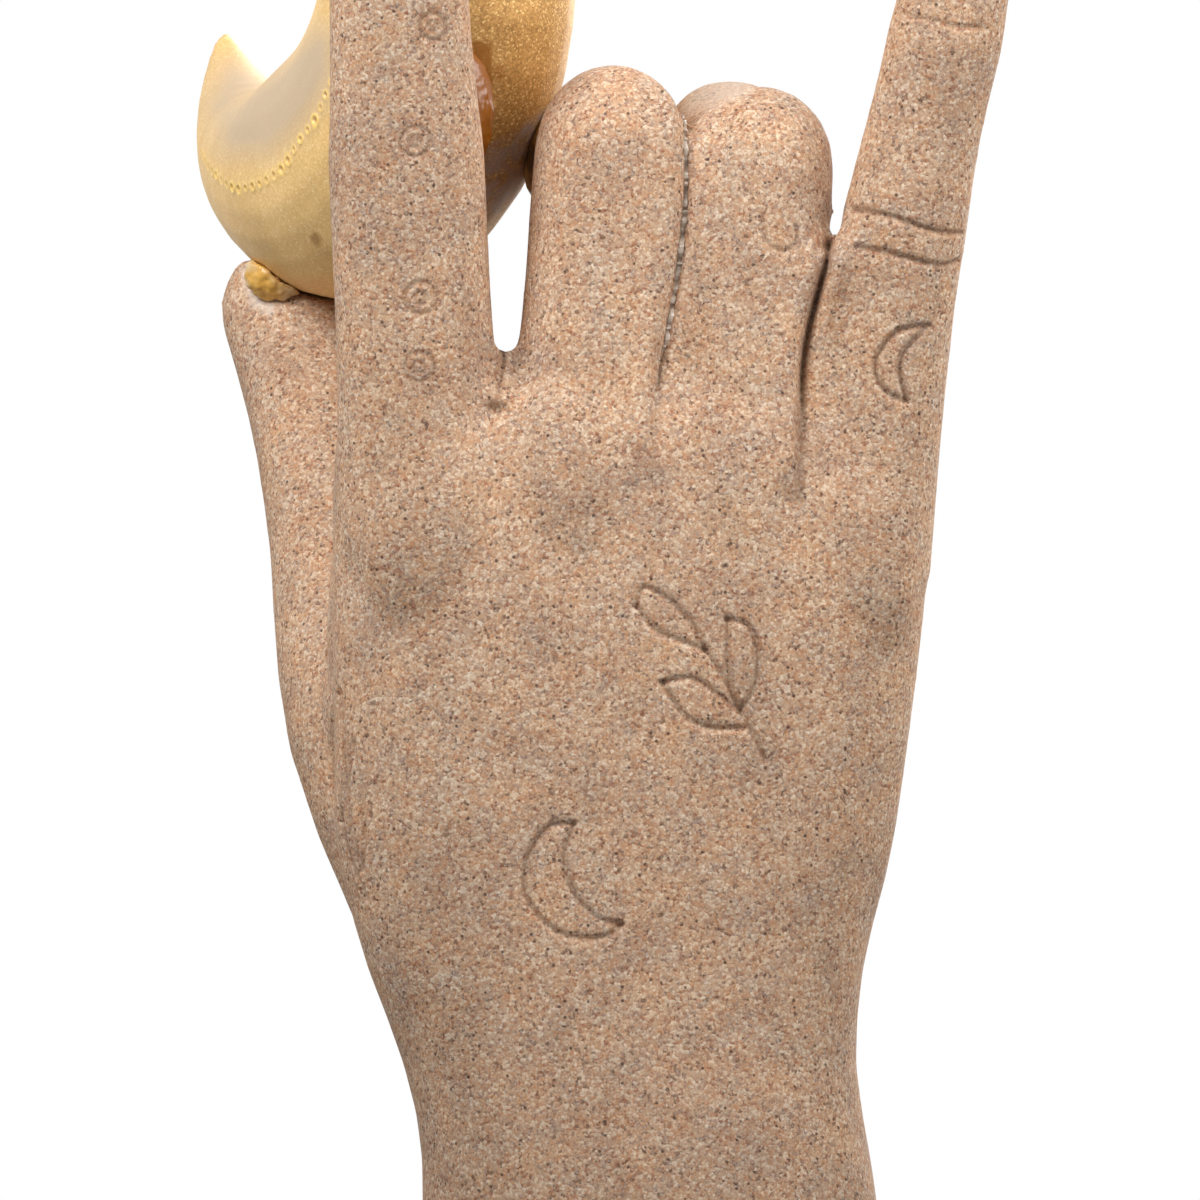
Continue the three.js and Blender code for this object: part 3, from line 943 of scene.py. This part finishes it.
def moon_axes():
    """The crescent's level axis, its upright axis and the way that its flat faces look."""
    turn, tip = math.radians(MOON_TURN), math.radians(MOON_TIP)
    level = Vector((math.cos(turn), math.sin(turn), 0))
    through = Vector((-math.sin(turn), math.cos(turn), 0))
    upright = Vector((0, 0, 1)) * math.cos(tip) + through * math.sin(tip)
    return level, upright, through * math.cos(tip) - Vector((0, 0, 1)) * math.sin(tip)


def dot_places(moon):
    """The row of dots: as photographed on the lower arm, alike on the upper arm and far face."""
    tree = surface_tree(moon)
    level, upright, through = moon_axes()
    centre = Vector(MOON_CENTRE)
    middle = math.radians(MOON_ROLL)
    lower = []
    for x, z in curve_through(MOON_DOTS, 4):
        hit = front_hit(tree, x, z)
        if hit:
            across, up = (hit - centre).dot(level), (hit - centre).dot(upright)
            turn = math.atan2(up, across)
            if turn > middle + math.pi:
                turn -= 2 * math.pi
            lower.append((turn, math.hypot(up, across)))
    lower.sort()
    row = lower + [(2 * middle - turn, far) for turn, far in reversed(lower)]
    path = [
        centre + level * (far * math.cos(turn)) + upright * (far * math.sin(turn))
        for turn, far in row
    ]
    spaced, left = [], 0.0
    for a, b in zip(path[:-1], path[1:]):
        span = (b - a).length
        while left < span:
            spaced.append(a.lerp(b, left / span))
            left += DOT_SPACING
        left -= span
    dots = []
    for way in (through, -through):
        for place in spaced:
            hit = tree.ray_cast(place - way * DOT_RAY_LENGTH, way)[0]
            if hit:
                dots.append(hit)
    return dots


def stamp_dots(piece, dots, radius, seed):
    """Presses a small ringed crater at each dot, some deeper and brighter than others, with painted
    shade in its pit.
    """
    mesh = piece.data
    tree = KDTree(len(dots))
    for index, dot in enumerate(dots):
        tree.insert(dot, index)
    tree.balance()
    close = [tree.find(vertex.co)[2] < DOT_REACH * radius for vertex in mesh.vertices]
    refine(mesh, close, 2)
    places, normals = vertices_of(mesh), normals_of(mesh)
    random = np.random.default_rng(seed)
    weights = random.uniform(0.45, 1.0, len(dots))
    sizes = random.uniform(0.75, 1.1, len(dots)) * radius
    rims, pits = np.zeros((2, len(places)), np.float32)
    for number, place in enumerate(places):
        _, index, gap = tree.find(Vector(place))
        reach = gap / sizes[index]
        if reach > DOT_REACH:
            continue
        ring = math.exp(-(((reach - 1) / DOT_RIM_WIDTH) ** 2))
        pit = math.exp(-((reach / DOT_PIT_WIDTH) ** 2))
        raised = (DOT_RIM_HEIGHT * ring - DOT_PIT_DEPTH * pit) * weights[index]
        places[number] += normals[number] * raised
        rims[number] = min(1.0, ring * weights[index])
        pits[number] = min(1.0, 0.7 * pit * weights[index])
    set_vertices(mesh, places)
    # Each pit's painted shade goes under the stains' note
    for name, values in (("fleck", rims), ("stain_and_painted_shade", pits)):
        mesh.attributes.new(name, "FLOAT", "POINT")
        set_note(mesh, name, values)


def make_moon(material):
    """The crescent, with its dots, its painted sheen, its amber area of painted shade, stains and
    residue.
    """
    moon = copy_of("crescent_moon", "gold_moon")
    remesh(moon, MOON_VOXEL, smoothings=10)
    waver(moon, size=7 * MM, amount=0.1 * MM, seed=8.0)
    stamp_dots(moon, dot_places(moon), DOT_RADIUS, seed=11)
    # Painted sheen where the face turns up to the light
    note_area(moon, "pale", MOON_PAINTED_SHEEN_AREA, 4.5 * MM)
    # Painted shade on the right side, in deeper amber
    note_area(moon, "amber", MOON_PAINTED_SHADE_AREA, 6 * MM)
    # The dark amber strip along the index finger's edge
    note_area(moon, "stain_and_painted_shade", INDEX_EDGE_AMBER_STRIP, 0.5 * MM)
    note_area(moon, "stain_and_painted_shade", SMALL_STAIN, 0.3 * MM, 0.8)
    note_area(moon, "stain_and_painted_shade", MOON_DENT, 0.4 * MM, 0.7)
    note_area(moon, "residue", MOON_RESIDUE, 0.8 * MM)
    shade_smooth(moon)
    finish_piece(moon, material, "crescent_moon")


def make_glue(node, name, material, lumps=0.12 * MM):
    """A bead of adhesive with an uneven, lumpy skin."""
    bead = copy_of(node, name)
    remesh(bead, GLUE_VOXEL, smoothings=5)
    places = vertices_of(bead.data)
    set_vertices(bead.data, places + GLUE_SWELL * normals_of(bead.data))
    waver(bead, size=1.1 * MM, amount=lumps, seed=2.0)
    waver(bead, size=0.5 * MM, amount=0.5 * lumps, seed=6.0)
    shade_smooth(bead)
    finish_piece(bead, material, node)


def make_seam_glue(hand, material):
    """A thin, ragged strip of clear adhesive along the bottom of the cleft between two fingers."""
    tree = surface_tree(hand)
    build = bmesh.new()
    line = curve_through(SEAM_GLUE, SEAM_STEPS)
    rings = []
    for index, (x, z) in enumerate(line):
        taper = math.sin(math.pi * index / (len(line) - 1)) ** 0.3
        ragged = 0.5 + 0.5 * noise.noise(Vector((3, 0, z / SEAM_WIDTH_WAVE)))
        wide = (SEAM_LEAST_WIDTH + SEAM_MORE_WIDTH * ragged) * taper + SEAM_END_WIDTH
        x += SEAM_SWAY * noise.noise(Vector((7, 5, z / SEAM_SWAY_WAVE)))
        y = front_hit(tree, x, z).y - SEAM_INSET * taper
        ring = []
        for turn in range(SEAM_SIDES):
            angle = 2 * math.pi * turn / SEAM_SIDES
            spot = Vector((2 * math.cos(angle), 2 * math.sin(angle), z / SEAM_ROUGH_WAVE))
            far = wide * (1 + SEAM_ROUGHNESS * noise.noise(spot))
            across, deep = far * math.cos(angle), SEAM_THICKNESS * far * math.sin(angle)
            ring.append(build.verts.new((x + across, y + deep, z)))
        rings.append(ring)
    for first, second in zip(rings[:-1], rings[1:]):
        for turn in range(SEAM_SIDES):
            after = (turn + 1) % SEAM_SIDES
            build.faces.new((first[turn], first[after], second[after], second[turn]))
    build.faces.new(rings[0][::-1])
    build.faces.new(rings[-1])
    bmesh.ops.recalc_face_normals(build, faces=build.faces)
    mesh = bpy.data.meshes.new("finger_seam_adhesive")
    build.to_mesh(mesh)
    build.free()
    strip = new_object("finger_seam_adhesive", mesh)
    shade_smooth(strip)
    finish_piece(strip, material, "finger_seam_glue")


def make_felt_pad(material):
    pad = copy_of("felt_base_pad", "felt_pad")
    remesh(pad, PAD_VOXEL, smoothings=2)
    waver(pad, size=2 * MM, amount=0.05 * MM, seed=5.0)
    shade_smooth(pad)
    finish_piece(pad, material, "felt_base_pad")


def dress_node(node, material):
    """Gives a CAD node that stays as it is its material and slot."""
    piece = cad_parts[node]
    piece.data.materials.clear()
    piece.data.materials.append(material)


make_camera()
make_world()
make_floor()
for lamp in LAMPS:
    make_light(*lamp)

resin = sand_resin()
hand = make_hand(resin)
make_moon(gold_paint())
pale = adhesive("pale_adhesive", srgb(208, 160, 72), 0.3, srgb(204, 178, 136))
amber = adhesive("amber_adhesive", srgb(146, 84, 14), 0.35)
dark = adhesive("dark_adhesive", srgb(92, 66, 42), 0.25, srgb(168, 122, 52))
clear = adhesive("clear_adhesive", srgb(206, 188, 170), 0.16)
make_glue("thumb_glue", "thumb_adhesive", pale, 0.25 * MM)
make_glue("index_glue", "index_adhesive", amber)
make_glue("middle_finger_glue", "middle_finger_adhesive", dark)
make_seam_glue(hand, clear)
make_felt_pad(felt())
dress_node("base_plug", resin)
dress_node("moon_dowel", steel())

bpy.context.scene.view_settings.view_transform = "Standard"
